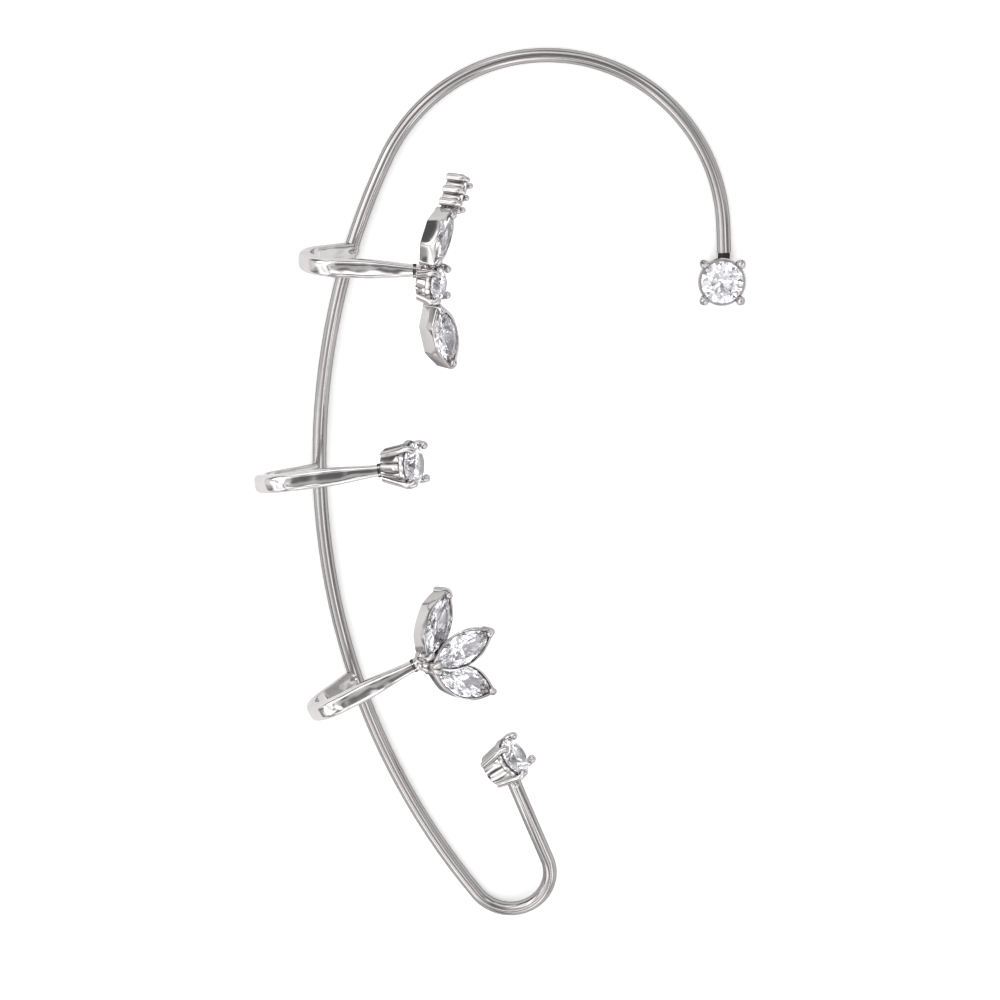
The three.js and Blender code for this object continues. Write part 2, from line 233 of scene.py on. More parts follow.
DARK_EDGE = "#8E8D8E"
SMUDGE_MM = 1.6
# Real polishing lines are a few microns apart. They are drawn much coarser than that, so that they show.
POLISHING_LINE_MM = 0.08


def polished_plating(name, light, dark, ripple_mm, ripple_depth, shine, edge=DARK_EDGE):
    """White plating over polished brass: bright, near mirror, a little uneven because hands polished it.

    The edge colour is what the metal turns to where it is seen at a glancing angle.
    """
    material, tree = new_material(name)
    place = add_node(tree, "ShaderNodeTexCoord").outputs["Object"]
    smudge = add_node(tree, "ShaderNodeTexNoise", Vector=place, Scale=per_mm(SMUDGE_MM), Detail=3.0)
    ripple = add_node(tree, "ShaderNodeTexNoise", Vector=place, Scale=per_mm(ripple_mm), Detail=1.0)
    lines = add_node(
        tree, "ShaderNodeTexNoise", Vector=place, Scale=per_mm(POLISHING_LINE_MM), Detail=2.0
    )
    colour = add_node(tree, "ShaderNodeMix", {"data_type": "RGBA"}, Factor=smudge.outputs["Fac"])
    colour.inputs[6].default_value = linear(light)
    colour.inputs[7].default_value = linear(dark)
    rough = add_node(
        tree,
        "ShaderNodeMapRange",
        Value=smudge.outputs["Fac"],
        From_Min=0.3,
        From_Max=0.7,
        To_Min=shine,
        To_Max=shine + 0.07,
    )
    wavy = add_node(
        tree, "ShaderNodeBump", Height=ripple.outputs["Fac"], Strength=1.0, Distance=ripple_depth * MM
    )
    brushed = add_node(
        tree,
        "ShaderNodeBump",
        Height=lines.outputs["Fac"],
        Strength=0.25,
        Distance=0.002 * MM,
        Normal=wavy.outputs["Normal"],
    )
    surface = add_node(
        tree,
        "ShaderNodeBsdfPrincipled",
        Base_Color=colour.outputs[2],
        Metallic=1.0,
        Specular_Tint=linear(edge),
        Roughness=rough.outputs["Result"],
        Normal=brushed.outputs["Normal"],
    )
    add_node(tree, "ShaderNodeOutputMaterial", Surface=surface.outputs["BSDF"])
    return material


def cut_stone(name):
    """Cubic zirconia, cut and polished: colourless, very bright at its facets, its IOR about 2.15."""
    material, tree = new_material(name)
    surface = add_node(
        tree,
        "ShaderNodeBsdfPrincipled",
        Base_Color=linear("#F6F5FB"),
        Roughness=0.01,
        IOR=2.15,
        Transmission_Weight=1.0,
    )
    add_node(tree, "ShaderNodeOutputMaterial", Surface=surface.outputs["BSDF"])
    return material


def light_table(name):
    """Matt white acrylic, lit a little from below, so that shadows on it are faint."""
    material, tree = new_material(name)
    surface = add_node(
        tree,
        "ShaderNodeBsdfPrincipled",
        Base_Color=linear("#F6F6F6"),
        Roughness=0.6,
        Emission_Color=linear("#FFFFFF"),
        Emission_Strength=0.18,
    )
    add_node(tree, "ShaderNodeOutputMaterial", Surface=surface.outputs["BSDF"])
    return material


# Drawn wire comes smooth from its die: an even, slightly soft shine, a little greyer than the rest.
drawn_wire = polished_plating("plated_drawn_wire", "#AAA7A7", "#9D9A9A", 2.5, 0.004, 0.12)
# Cast settings are polished by hand, piece by piece: brighter, with small waves.
cast_metal = polished_plating("plated_cast_metal", "#C6C3C3", "#ABA8A8", 1.5, 0.06, 0.07)
# The strip is folded and then polished: wide waves that bend its reflections, and pale edges.
band_metal = polished_plating(
    "plated_folded_strip", "#D2CFCF", "#B2AFAF", 1.9, 0.12, 0.06, edge="#E6E5E6"
)
# Painted shade: a dull, rough, nearly black metal for the collars that stand in for the shadow and dark
# reflections in the recesses at the joints.
painted_shade_metal = polished_plating("painted_joint_shade", "#575353", "#2A2828", 0.3, 0.05, 0.3)
zirconia = cut_stone("cut_cubic_zirconia")

# ---- Pieces ----


# Metal faces that meet at more than this angle show a crease.
CREASE = 32


def add_piece(name, bm, material, replaced, matrix, crease):
    """Without a crease, it stays faceted."""
    bmesh.ops.transform(bm, matrix=TO_PART @ (matrix or Matrix()), verts=bm.verts)
    mesh = bpy.data.meshes.new(name)
    bm.to_mesh(mesh)
    bm.free()
    if crease:
        mesh.shade_smooth()
        mesh.set_sharp_from_angle(angle=radians(crease))
    mesh.materials.append(material)
    piece = bpy.data.objects.new(name, mesh)
    bpy.context.scene.collection.objects.link(piece)
    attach(piece, "root")
    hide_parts(replaced)


def add_metal(name, bm, material, matrix=None):
    add_piece(name, bm, material, "metal_frame", matrix, CREASE)


def add_stone(name, bm, node, matrix):
    add_piece(name, bm, zirconia, node, matrix, crease=None)


def parts_of(made, kind):
    """The vertices or edges in what an operator made."""
    return [item for item in made["geom"] if isinstance(item, kind)]


def edges_of(verts):
    """The edges that join these vertices in a ring."""
    kept = set(verts)
    return list({edge for vert in verts for edge in vert.link_edges if set(edge.verts) <= kept})


def push_ring(bm, edges, matrix):
    """Extrudes a ring of edges, and moves the new ring by the matrix. Gives the new ring's edges."""
    made = bmesh.ops.extrude_edge_only(bm, edges=edges)
    bmesh.ops.transform(bm, matrix=matrix, verts=parts_of(made, bmesh.types.BMVert))
    return parts_of(made, bmesh.types.BMEdge)


def close_shells(bm):
    """Closes every open end and points all faces outward."""
    bmesh.ops.holes_fill(bm, edges=bm.edges, sides=0)
    bmesh.ops.recalc_face_normals(bm, faces=bm.faces)


def sweep(bm, stations, sides=14):
    """A round bar through stations of (point, radius)."""
    points = [Vector(point) for point, _ in stations]
    radii = [radius for _, radius in stations]
    along = (points[1] - points[0]).normalized()
    start = Matrix.Translation(points[0]) @ along.to_track_quat("Z", "X").to_matrix().to_4x4()
    ring = bmesh.ops.create_circle(bm, segments=sides, radius=radii[0], matrix=start)["verts"]
    edges = edges_of(ring)
    for index in range(1, len(points)):
        following = points[min(index + 1, len(points) - 1)] - points[index - 1]
        turned = along.rotation_difference(following.normalized())
        along = following.normalized()
        move = (
            Matrix.Translation(points[index])
            @ turned.to_matrix().to_4x4()
            @ Matrix.Scale(radii[index] / radii[index - 1], 4)
            @ Matrix.Translation(-points[index - 1])
        )
        edges = push_ring(bm, edges, move)


def spin_profile(bm, profile, steps=72):
    """Spins a profile of (radius, height) points about Z into a closed skin."""
    verts = [bm.verts.new((radius, 0, height)) for radius, height in profile]
    edges = [bm.edges.new(pair) for pair in zip(verts, verts[1:])]
    bmesh.ops.spin(
        bm,
        geom=verts + edges,
        cent=(0, 0, 0),
        axis=(0, 0, 1),
        angle=2 * pi,
        steps=steps,
        use_merge=True,
    )
    bmesh.ops.remove_doubles(bm, verts=bm.verts, dist=1e-4)


# ---- Wire and bands ----


def follow_route(bm, edges, start, legs, after_step):
    """Carries a ring of edges along straights and bends in the XY plane, and gives the last point.

    It calls after_step with the new ring and the distance travelled.
    """
    x, y, heading = start[0], start[1], radians(start[2])
    travelled = 0
    for kind, size, turn, steps in legs:
        length = size if kind == "straight" else size * abs(radians(turn))
        for _ in range(steps):
            if kind == "straight":
                offset = Vector((cos(heading), sin(heading), 0)) * length / steps
                edges = push_ring(bm, edges, Matrix.Translation(offset))
                x, y = x + offset.x, y + offset.y
            else:
                angle = radians(turn) / steps
                side = size if turn > 0 else -size
                centre = Vector((x - sin(heading) * side, y + cos(heading) * side, 0))
                about = (
                    Matrix.Translation(centre)
                    @ Matrix.Rotation(angle, 4, "Z")
                    @ Matrix.Translation(-centre)
                )
                edges = push_ring(bm, edges, about)
                x, y, _z = about @ Vector((x, y, 0))
                heading += angle
            travelled += length / steps
            after_step(edges, travelled)
    return Vector((x, y, 0))


def ring_verts(edges):
    """The vertices of a ring of edges."""
    return list({vert for edge in edges for vert in edge.verts})


def make_wire():
    """The round wire, and the point at the middle of its lobe end."""
    bm = bmesh.new()
    lengths = [
        size if kind == "straight" else size * radians(turn) for kind, size, turn, _ in WIRE_LEGS
    ]
    total, rising = sum(lengths), sum(lengths[-RISING_LEGS:])
    height = bm.verts.layers.float.new("climb")

    def note_climb(edges, travelled):
        share = min(max((travelled - total + rising) / rising, 0), 1)
        for vert in ring_verts(edges):
            vert[height] = WIRE_RISE * share * share * (3 - 2 * share)

    heading = Vector((cos(radians(WIRE_START[2])), sin(radians(WIRE_START[2])), 0))
    across = heading.to_track_quat("Z", "X").to_matrix().to_4x4()
    start = Matrix.Translation((WIRE_START[0], WIRE_START[1], WIRE_RADIUS)) @ across
    ring = bmesh.ops.create_circle(bm, segments=28, radius=WIRE_RADIUS, matrix=start)["verts"]
    end = follow_route(bm, edges_of(ring), WIRE_START, WIRE_LEGS, note_climb)
    for vert in bm.verts:
        vert.co.z += vert[height]
    bm.verts.layers.float.remove(height)
    close_shells(bm)
    return bm, end + Vector((0, 0, WIRE_RADIUS + WIRE_RISE))


def band_matrix(band):
    """A band's own frame: X toward its stones, Y up from the wire, Z along the wire."""
    h, lean = radians(band["heading"]), radians(band["lean"])
    forward = Vector((cos(h), sin(h), 0))
    side = Vector((-forward.y, forward.x, 0))
    up = Vector((0, 0, cos(lean))) + side * sin(lean)
    turn = Matrix((forward, up, forward.cross(up))).transposed().to_4x4()
    return Matrix.Translation((band["x"], band["y"], WIRE_RADIUS)) @ turn


def band_legs(band):
    """A band's route: up from the wire, round its bend and back to its stones."""
    return [
        ("straight", band["far"], 0, 10),
        ("bend", BAND_BEND_RADIUS, -BAND_LEAVES_AT, 48),
        ("straight", band["reach"], 0, 24),
    ]


def make_band(band):
    """The folded strip, widest at the middle of its bend and narrowest at its stones."""
    bm = bmesh.new()
    bend = band["far"] + BAND_BEND_RADIUS * radians(BAND_LEAVES_AT) / 2
    total = bend + BAND_BEND_RADIUS * radians(BAND_LEAVES_AT) / 2 + band["reach"]
    width = [BAND_WIDTH_AT_WIRE]

    def taper(edges, travelled):
        if travelled < bend:
            share = travelled / bend
            wanted = BAND_WIDTH_AT_WIRE + (BAND_WIDTH_AT_BEND - BAND_WIDTH_AT_WIRE) * share
        else:
            near_share = (travelled - bend) / (total - bend)
            share = max(near_share - BAND_FULL_SHARE, 0) / (1 - BAND_FULL_SHARE)
            share = share * share * (3 - 2 * share)
            wanted = BAND_WIDTH_AT_BEND + (BAND_WIDTH_AT_STONES - BAND_WIDTH_AT_BEND) * share
        bmesh.ops.scale(bm, vec=(1, 1, wanted / width[0]), verts=ring_verts(edges))
        width[0] = wanted

    # The section is a flat strip with a low dome outside and rounded corners.
    ring = bmesh.ops.create_circle(bm, segments=40, radius=0.5)["verts"]
    for vert in ring:
        out, along = vert.co.x * 2, vert.co.y * 2
        out = abs(out) ** (0.22 if out < 0 else 0.8) * (1 if out > 0 else -1)
        along = abs(along) ** 0.5 * (1 if along > 0 else -1)
        vert.co.x, vert.co.y = out * BAND_THICKNESS / 2, along * BAND_WIDTH_AT_WIRE / 2
    h = radians(BAND_LEAVES_AT)
    outward, forward = Vector((-sin(h), cos(h), 0)), Vector((cos(h), sin(h), 0))
    stand = Matrix((outward, Vector((0, 0, 1)), forward)).transposed().to_4x4()
    bmesh.ops.transform(bm, matrix=stand, verts=ring)
    follow_route(bm, edges_of(ring), (0, 0, BAND_LEAVES_AT), band_legs(band), taper)
    close_shells(bm)
    return bm


def band_end(band):
    """The point at the middle of a band's end, in the same millimetres as the settings."""
    h = radians(BAND_LEAVES_AT)
    x = cos(h) * band["far"] + sin(h) * BAND_BEND_RADIUS + band["reach"]
    y = sin(h) * band["far"] + (1 - cos(h)) * BAND_BEND_RADIUS
    return band_matrix(band) @ Vector((x, y, 0))


# ---- Stones ----


def boat_reach(x, length, width):
    """Half the width of a boat-shaped outline at this distance from its middle."""
    half, side = length / 2, width / 2
    radius = (half * half + side * side) / (2 * side)
    return sqrt(max(radius * radius - x * x, 0)) - (radius - side)


def brilliant(width, girdle, length=None):
    """A brilliant cut: the hull of its table, crown, girdle and pavilion corners.

    It is round, or boat-shaped when it is given a length.
    """
    bm = bmesh.new()
    r = width / 2
    crown, pavilion, edge = width * CROWN, width * PAVILION, width * GIRDLE_EDGE
    crown_slope = (edge - crown) / (r - r * TABLE)
    pavilion_slope = (pavilion - edge) / r
    # Where the facets meet, part of the way up the crown and near the stone's point.
    middle, low = 0.8 * r, 0.25 * r
    corners = [(0, 0, -pavilion)]
    for eighth in range(8):
        on = radians(45 * eighth)
        off = radians(45 * eighth + 22.5)
        corners.append((r * TABLE, on, crown))
        height = crown + (middle * cos(radians(22.5)) - r * TABLE) * crown_slope
        corners.append((middle, off, height))
        corners.append((low, off, -pavilion + low * cos(radians(22.5)) * pavilion_slope))
        for angle in (on, off):
            corners += [(r, angle, edge), (r, angle, -edge)]
    for radius, angle, height in corners:
        x, y = cos(angle), sin(angle)
        if length:
            x *= length / width
            y = boat_reach(x * r, length, width) / r * (1 if y > 0 else -1) if abs(y) > 0.01 else 0
        bm.verts.new((radius * x, radius * y, height + girdle))
    made = bmesh.ops.convex_hull(bm, input=bm.verts)
    inner = [item for item in made["geom_interior"] if isinstance(item, bmesh.types.BMVert)]
    bmesh.ops.delete(bm, geom=inner, context="VERTS")
    bmesh.ops.dissolve_limit(bm, angle_limit=radians(1), verts=bm.verts, edges=bm.edges)
    bmesh.ops.recalc_face_normals(bm, faces=bm.faces)
    return bm


# ---- Settings ----


def add_claw(bm, foot, knee, tip, bar, bead):
    """A prong: a straight bar from its foot to its knee, then a claw that bends over to a bead."""
    foot, knee, tip = Vector(foot), Vector(knee), Vector(tip)
    rise = (knee - foot).normalized()
    # The claw curves from the knee to the tip by way of this point.
    bulge = knee + rise * (tip - knee).length * 0.6
    stations = [(foot, bar * 0.8), (foot + rise * 0.05, bar)]
    stations += [(foot.lerp(knee, share), bar) for share in (0.35, 0.7, 1.0)]
    for share in (0.25, 0.5, 0.75, 1.0):
        point = knee.lerp(bulge, share).lerp(bulge.lerp(tip, share), share)
        stations.append((point, bar + (bead - bar) * share - 0.05 * sin(pi * share)))
    # The bead's round end.
    over = (tip - bulge).normalized()
    for angle in (30, 55, 75, 88):
        a = radians(angle)
        stations.append((tip + over * bead * sin(a) * 0.8, bead * cos(a)))
    sweep(bm, stations)


def make_round_setting(size, flutes, cup, bar, splay, bead):
    """A fluted closed cup, a gallery ring over it and four claws from its back to over the stone."""
    bm = bmesh.new()
    stone, back, girdle = size["stone"], size["back"], size["girdle"]
    rim = stone / 2
    cup_height = girdle * cup
    cup_radius = back + (rim + 0.1 - back) * cup
    spin_profile(
        bm,
        [
            (0, 0),
            (back - 0.08, 0),
            (back - 0.02, 0.03),
            (back, 0.1),
            (back + (cup_radius - back) * 0.3, cup_height * 0.3),
            (back + (cup_radius - back) * 0.6, cup_height * 0.6),
            (cup_radius, cup_height - 0.12),
            (cup_radius - 0.03, cup_height - 0.03),
            (cup_radius - 0.1, cup_height),
            (cup_radius - WALL, cup_height - 0.04),
            (back - WALL, WALL + 0.1),
            (back - WALL - 0.15, WALL),
            (0, WALL),
        ],
        steps=max(flutes * 8, 64),
    )
    for vert in bm.verts:
        reach = hypot(vert.co.x, vert.co.y)
        if reach > back - 0.05 and 0.05 < vert.co.z < cup_height - 0.08:
            angle = Vector((vert.co.x, vert.co.y)).angle_signed(Vector((1, 0)))
            groove = max(0.0, cos(angle * flutes)) ** 3
            shrink = 1 - FLUTE_DEPTH * groove
            vert.co.x, vert.co.y = vert.co.x * shrink, vert.co.y * shrink
    ring_out = rim + RING_OUT
    ring_in = ring_out - WALL - 0.08
    low, high = girdle - 0.52, girdle - 0.16
    spin_profile(
        bm,
        [
            (ring_in, low + 0.04),
            (ring_in + 0.04, low),
            (ring_out - 0.08, low),
            (ring_out, low + 0.08),
            (ring_out, high - 0.08),
            (ring_out - 0.06, high),
            (ring_in + 0.06, high),
            (ring_in, high - 0.06),
            (ring_in, low + 0.04),
        ],
    )
    for angle in (45, 135, 225, 315):
        c, s = cos(radians(angle)), sin(radians(angle))
        foot, knee, tip = back - 0.06, ring_out + splay / 2, rim + splay
        add_claw(
            bm,
            (foot * c, foot * s, CLAW_FOOT),
            (knee * c, knee * s, girdle - 0.1),
            (tip * c, tip * s, girdle + stone * CROWN * 0.9),
            bar=bar,
            bead=bead,
        )
    close_shells(bm)
    return bm


def make_boat_setting(size, flats, blunt, waist):
    """A thin-walled cup with three soft flats a side, and a claw over the stone at each point.

    Each vertex of its ring notes its share of the length and its side, and every level is a new
    ring from those.
    """
    bm = bmesh.new()
    length, width, girdle = size["length"], size["width"], size["girdle"]
    outer_length, outer_width = length + 3 * WALL, width + 1.4 * WALL
    share = bm.verts.layers.float.new("share")
    side = bm.verts.layers.float.new("side")

    def flat_reach(x, long, wide):
        """Half the width where the outline has three flats."""
        half, flat = long / 2, FLAT_SHARE * long / 2
        if abs(x) <= flat:
            return wide / 2
        full = wide / 2 * (blunt + (1 - blunt) * (half - abs(x)) / (half - flat))
        # The square root rounds off the blunt point.
        return min(full, 1.4 * sqrt(max(half - abs(x), 0)))

    def shape_ring(verts, long, wide, height, flatness):
        for vert in verts:
            x = vert[share] * long / 2
            curved, flat = boat_reach(x, long, wide), flat_reach(x, long, wide)
            vert.co = (x, vert[side] * (curved + (flat - curved) * flatness), height)

    ring = bmesh.ops.create_circle(bm, segments=56, radius=1)["verts"]
    for vert in ring:
        vert[share] = vert.co.x
        vert[side] = 0 if abs(vert.co.y) < 1e-6 else (1 if vert.co.y > 0 else -1)
    edges = edges_of(ring)
    # Length, width, height and flatness: up the outside, over the rim and down the inside.
    levels = [
        (outer_length * 0.93, outer_width * 0.86 * waist, 0.0, flats),
        (outer_length * 0.955, outer_width * 0.9 * waist, 0.05, flats),
        (outer_length * 0.975, outer_width * 0.95 * waist, girdle * 0.5, flats),
        (outer_length * 0.99, outer_width * 0.99, girdle + 0.02, flats * 0.7),
        (outer_length * 0.985, outer_width * 0.975, girdle + 0.1, flats * 0.6),
        (outer_length * 0.96, outer_width * 0.94, girdle + 0.12, flats * 0.4),
        (length + 0.14, width + 0.12, girdle + 0.11, 0.0),
        (length + 0.12, width + 0.08, girdle - 0.1, 0.0),
        (length * 0.8, width * 0.7, girdle * 0.5, 0.0),
        (length * 0.7, width * 0.5, WALL, 0.0),
    ]
    shape_ring(ring, *levels[0])
    for level in levels[1:]:
        made = bmesh.ops.extrude_edge_only(bm, edges=edges)
        edges = parts_of(made, bmesh.types.BMEdge)
        shape_ring(parts_of(made, bmesh.types.BMVert), *level)
    for layer in ("share", "side"):
        bm.verts.layers.float.remove(bm.verts.layers.float[layer])
    for end in (-1, 1):
        add_claw(
            bm,
            (end * (length / 2 + 0.13), 0, -0.06),
            (end * (length / 2 + 0.2), 0, girdle - 0.02),
            (end * (length / 2 - 0.08), 0, girdle + width * CROWN * 0.9),
            bar=0.29,
            bead=0.28,
        )
    close_shells(bm)
    return bm


def make_rail():
    """Two tiny cups in a row, with three pairs of claws between and beside them."""
    bm = bmesh.new()
    stone, girdle = TINY_ROUND["stone"], TINY_ROUND["girdle"]
    for share in (-0.5, 0.5):
        before = set(bm.verts)
        rim = stone / 2
        spin_profile(
            bm,
            [
                (0, 0.02),
                (rim - 0.05, 0.02),
                (rim + 0.02, 0.1),
                (rim + 0.06, girdle - 0.12),
                (rim + 0.02, girdle - 0.05),
                (rim - 0.06, girdle - 0.08),
                (0.12, girdle - stone * 0.5),
                (0, girdle - stone * 0.5),
            ],
            steps=32,
        )
        made = [vert for vert in bm.verts if vert not in before]
        bmesh.ops.translate(bm, vec=(share * TINY_PITCH, 0, 0), verts=made)
    for place in (-TINY_PITCH, 0, TINY_PITCH):
        for side in (-1, 1):
            out = side * RAIL_PRONG_OUT
            add_claw(
                bm,
                (place, out * 0.85, 0.02),
                (place, out, girdle - 0.1),
                (place, out * 0.78, girdle + stone * CROWN + 0.08),
                bar=0.29,
                bead=0.22,
            )
        # Bars low under the stones hold the claws together.
        sweep(bm, [((place, -0.5, 0.3), 0.22), ((place, 0.5, 0.3), 0.22)])
    sweep(bm, [((-TINY_PITCH, 0, 0.3), 0.24), ((TINY_PITCH, 0, 0.3), 0.24)])
    close_shells(bm)
    return bm


# ---- Solder ----


def fused(bm, voxel=0.05, smoothing=4):
    """Runs the shapes in a bmesh together into one skin, as solder does."""
    mesh = bpy.data.meshes.new("melt")
    bm.to_mesh(mesh)
    bm.free()
    melt = bpy.data.objects.new("melt", mesh)
    bpy.context.scene.collection.objects.link(melt)
    remesh = melt.modifiers.new("melt", "REMESH")
    remesh.mode = "VOXEL"
    remesh.voxel_size = voxel
    smooth = melt.modifiers.new("flow", "SMOOTH")
    smooth.factor = 0.5
    smooth.iterations = smoothing
    evaluated = melt.evaluated_get(bpy.context.evaluated_depsgraph_get())
    result = bmesh.new()
    result.from_mesh(evaluated.to_mesh())
    evaluated.to_mesh_clear()
    bpy.data.objects.remove(melt)
    bpy.data.meshes.remove(mesh)
    return result


def bar_between(bm, start, end, start_radius, end_radius):
    """A straight round bar that narrows evenly."""
    sweep(
        bm,
        [
            (start, start_radius),
            (Vector(start).lerp(Vector(end), 0.5), (start_radius + end_radius) / 2),
            (end, end_radius),
        ],
    )


def low_point(place, along):
    """A point low down in a setting, the given way along its length from the middle."""
    return setting_matrix(place) @ Vector((along, 0, LINK_HEIGHT))


def make_link(start, end):
    """A short soldered bar between two settings, with a round end in each."""
    bm = bmesh.new()
    bar_between(bm, start, end, LINK_RADIUS, LINK_RADIUS)
    for point in (start, end):
        round_end = Matrix.Translation(point)
        bmesh.ops.create_icosphere(bm, subdivisions=2, radius=LINK_RADIUS * 1.05, matrix=round_end)
    close_shells(bm)
    return fused(bm)


def make_collar(start, end, radius):
    """A ring that fills a joint. In the dark metal it is painted shade, standing in for the shadow in
    the joint's recess.
    """
    start, end = Vector(start), Vector(end)
    bm = bmesh.new()
    sweep(
        bm,
        [
            (start, radius * 0.9),
            (start.lerp(end, 0.2), radius),
            (start.lerp(end, 0.5), radius * 0.95),
            (start.lerp(end, 0.8), radius),
            (end, radius * 0.9),
        ],
        sides=20,
    )
    close_shells(bm)
    return bm


def make_band_root(band):
    """The solder that runs between a band's foot and the wire."""
    bm = bmesh.new()
    matrix = band_matrix(band)
    h = radians(BAND_LEAVES_AT)
    up = matrix.to_3x3() @ Vector((cos(h), sin(h), 0))
    foot = matrix.translation
    bar_between(bm, foot, foot + up * ROOT_LENGTH, *ROOT_RADII)
    ball = Matrix.Translation(foot + Vector((0, 0, ROOT_BALL_LIFT)))
    bmesh.ops.create_icosphere(bm, subdivisions=3, radius=ROOT_BALL, matrix=ball)
    close_shells(bm)
    return fused(bm)


# ---- Assembly ----

wire, wire_end = make_wire()
drop = bmesh.new()
drop_place = Matrix.Translation(wire_end + LOBE_DROP_FROM_WIRE_END)
bmesh.ops.create_icosphere(drop, subdivisions=4, radius=LOBE_DROP_RADIUS, matrix=drop_place)
add_metal("lobe_end_solder", drop, cast_metal)
add_metal("ear_wire", wire, drawn_wire)
# The dark collar at the top end is painted shade, standing in for the shadow where the wire goes in
# under the setting.
add_metal("top_end_painted_shade", make_collar(*TOP_COLLAR, TOP_COLLAR_RADIUS), painted_shade_metal)
for name, band in BANDS.items():
    add_metal(f"{name}_band", make_band(band), band_metal, band_matrix(band))
    add_metal(f"{name}_band_solder", make_band_root(band), cast_metal)

# The dark collars near the band ends are painted shade, standing in for the shadow and dark reflection
# in each joint's recess.
for name, back in JOINT_BACK.items():
    end, forward = band_end(BANDS[name]), band_matrix(BANDS[name]).to_3x3() @ Vector((1, 0, 0))
    joint = make_collar(end - forward * (back + JOINT_LENGTH), end - forward * back, JOINT_RADIUS)
    add_metal(f"{name}_joint_painted_shade", joint, painted_shade_metal)

for name, (size, place) in ROUND_SETTINGS.items():
    matrix = setting_matrix(place)
    setting = make_round_setting(size, **ROUND_STYLES[name])
    add_metal(f"{name}_round_setting", setting, cast_metal, matrix)
    gem = brilliant(size["stone"], size["girdle"])
    add_stone(f"{name}_brilliant", gem, f"{name}_round_stone", matrix)

for name, (size, place) in BOAT_SETTINGS.items():
    matrix = setting_matrix(place)
    setting = make_boat_setting(size, **BOAT_STYLES[name])
    add_metal(f"{name}_boat_setting", setting, cast_metal, matrix)
    gem = brilliant(size["width"], size["girdle"], size["length"])
    add_stone(f"{name}_marquise", gem, f"{name}_boat_stone", matrix)

rail_matrix = setting_matrix(RAIL)
add_metal("strip_rail", make_rail(), cast_metal, rail_matrix)
for name, share in (("lower_tiny", -0.5), ("upper_tiny", 0.5)):
    gem = brilliant(TINY_ROUND["stone"], TINY_ROUND["girdle"])
    shifted = rail_matrix @ Matrix.Translation((share * TINY_PITCH, 0, 0))
    add_stone(f"{name}_brilliant", gem, f"{name}_stone", shifted)

upper, lower = BOAT_SETTINGS["upper"], BOAT_SETTINGS["lower"]
strip_place = ROUND_SETTINGS["strip"][1]
strip_side = STRIP_ROUND["back"] * 0.8
rail_foot = low_point(RAIL, -RAIL_LENGTH * 0.4)
upper_top = low_point(upper[1], UPPER_BOAT["length"] * LINK_REACH)
upper_foot = low_point(upper[1], -UPPER_BOAT["length"] * LINK_REACH)
lower_top = low_point(lower[1], LOWER_BOAT["length"] * LINK_REACH)
add_metal("rail_link", make_link(rail_foot, upper_top), cast_metal)
add_metal("upper_link", make_link(upper_foot, low_point(strip_place, strip_side)), cast_metal)
add_metal("lower_link", make_link(low_point(strip_place, -strip_side), lower_top), cast_metal)

hub = bmesh.new()
hub_point = band_end(BANDS["lower"])
hub_place = Matrix.Translation(hub_point)
bmesh.ops.create_icosphere(hub, subdivisions=3, radius=HUB_RADIUS, matrix=hub_place)
for name in ("petal_upper", "petal_middle", "petal_lower"):
    end = low_point(BOAT_SETTINGS[name][1], -PETAL_BOAT["length"] * LINK_REACH)
    bar_between(hub, hub_point, end, *HUB_ARM_RADII)
close_shells(hub)
add_metal("petal_hub", fused(hub), cast_metal)

# ---- Floor, light and camera ----

FLOOR_HALF = 6  # metres, so that its edge is far off in every view
floor_mesh = bpy.data.meshes.new("floor")
floor_bm = bmesh.new()
bmesh.ops.create_grid(floor_bm, x_segments=1, y_segments=1, size=FLOOR_HALF)
floor_bm.to_mesh(floor_mesh)
floor_bm.free()
floor_mesh.materials.append(light_table("lit_matt_white_acrylic"))
floor = bpy.data.objects.new("floor", floor_mesh)
bpy.context.scene.collection.objects.link(floor)


def add_softbox(name, where, size, power):
    """A large square light that faces the cuff."""
    light = bpy.data.lights.new(name, "AREA")
    light.shape = "SQUARE"
    light.size = size
    light.energy = power
    box = bpy.data.objects.new(name, light)
    box.location = AIM + Vector(where)
    box.rotation_euler = (-Vector(where)).to_track_quat("-Z", "Y").to_euler()
    bpy.context.scene.collection.objects.link(box)


# It stands about 0.9 m away, up and to the left. Sizes are in metres and watts.
SOFTBOX_FROM_CUFF = (-0.6, 0.3, 0.65)
SOFTBOX_SIDE = 0.6
SOFTBOX_WATTS = 1.6
add_softbox("left_softbox", SOFTBOX_FROM_CUFF, SOFTBOX_SIDE, SOFTBOX_WATTS)

WORLD_STRENGTH = 1.2
# How light the room is at each height, from the horizon at 0 to straight above at 1.
ROOM_LEVELS = ((0.28, 0.55), (0.42, 1.15), (0.75, 1.3), (0.87, 1.3), (0.93, 0.9))
HORIZON_LEVEL = 0.5
CEILING_LEVEL = 0.64
# How light the shelves, doors and lamps are, from the noise's low values to its high ones.
CLUTTER_LEVELS = ((0.455, 0.8), (0.54, 1.1))
CLUTTER_DARK = (0.40, 0.24)
CLUTTER_LIGHT = (0.60, 1.9)


def grey(level):
    """A grey as red, green, blue and alpha. It is linear, and may be brighter than white."""
    return (level, level, level, 1)


def add_levels(elements, levels):
    """Adds (position, level) greys to a ramp."""
    for position, level in levels:
        elements.new(position).color = grey(level)


world = bpy.data.worlds.new("grey_studio")
bpy.context.scene.world = world
world.use_nodes = True
sky = world.node_tree
sky.nodes.clear()
direction = add_node(sky, "ShaderNodeTexCoord").outputs["Generated"]
height = add_node(sky, "ShaderNodeSeparateXYZ", Vector=direction).outputs["Z"]
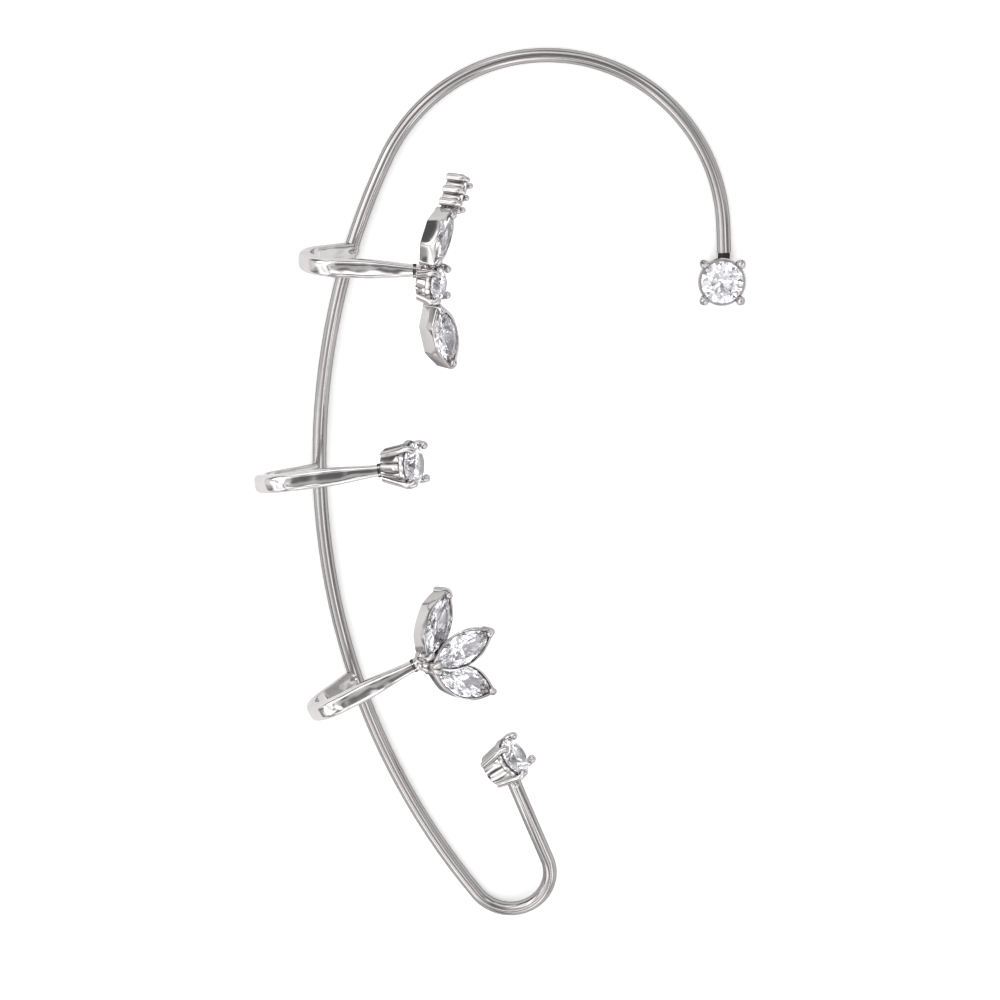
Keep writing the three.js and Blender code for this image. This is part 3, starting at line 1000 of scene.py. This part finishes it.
# The room is light above and darker toward the walls, and darker again straight above.
ramp = add_node(sky, "ShaderNodeValToRGB", Fac=height)
stops = ramp.color_ramp.elements
stops[0].position, stops[0].color = 0.0, grey(HORIZON_LEVEL)
stops[1].position, stops[1].color = 1.0, grey(CEILING_LEVEL)
add_levels(stops, ROOM_LEVELS)
# Shelves, doors and lamps make the light uneven from one direction to the next.
clutter = add_node(sky, "ShaderNodeTexNoise", Vector=direction, Scale=2.6, Detail=1.0, Distortion=0.6)
uneven = add_node(sky, "ShaderNodeValToRGB", Fac=clutter.outputs["Fac"])
marks = uneven.color_ramp.elements
marks[0].position, marks[0].color = CLUTTER_DARK[0], grey(CLUTTER_DARK[1])
marks[1].position, marks[1].color = CLUTTER_LIGHT[0], grey(CLUTTER_LIGHT[1])
add_levels(marks, CLUTTER_LEVELS)
room = add_node(sky, "ShaderNodeMix", {"data_type": "RGBA", "blend_type": "MULTIPLY"})
room.inputs[0].default_value = 1.0
sky.links.new(ramp.outputs["Color"], room.inputs[6])
sky.links.new(uneven.outputs["Color"], room.inputs[7])
# The room lights the cuff and shows in it, and where the floor ends there is a plain white backdrop.
seen_directly = add_node(sky, "ShaderNodeLightPath").outputs["Is Camera Ray"]
backdrop = add_node(sky, "ShaderNodeMix", {"data_type": "RGBA"})
backdrop.inputs[7].default_value = (1, 1, 1, 1)
sky.links.new(seen_directly, backdrop.inputs[0])
sky.links.new(room.outputs[2], backdrop.inputs[6])
background = add_node(
    sky, "ShaderNodeBackground", Color=backdrop.outputs[2], Strength=WORLD_STRENGTH
)
add_node(sky, "ShaderNodeOutputWorld", Surface=background.outputs["Background"])

# The lens and its sensor, in their own millimetres.
LENS = 100
SENSOR = 36
FRAME_ACROSS = 72.5  # millimetres that the view takes in, across and down
CAMERA_TILT = 9  # degrees away from straight above
distance = FRAME_ACROSS * MM * LENS / SENSOR
lens = bpy.data.cameras.new("camera")
lens.lens = LENS
lens.sensor_width = SENSOR
lens.clip_start = 0.01
camera = bpy.data.objects.new("camera", lens)
camera.location = AIM + distance * Vector((0, sin(radians(CAMERA_TILT)), cos(radians(CAMERA_TILT))))
camera.rotation_euler = (radians(-CAMERA_TILT), 0, 0)
bpy.context.scene.collection.objects.link(camera)
bpy.context.scene.camera = camera
bpy.context.scene.view_settings.view_transform = "Standard"

# Light turns many times inside a cut stone before it leaves.
bpy.context.scene.cycles.max_bounces = 24
bpy.context.scene.cycles.glossy_bounces = 16
bpy.context.scene.cycles.transmission_bounces = 16
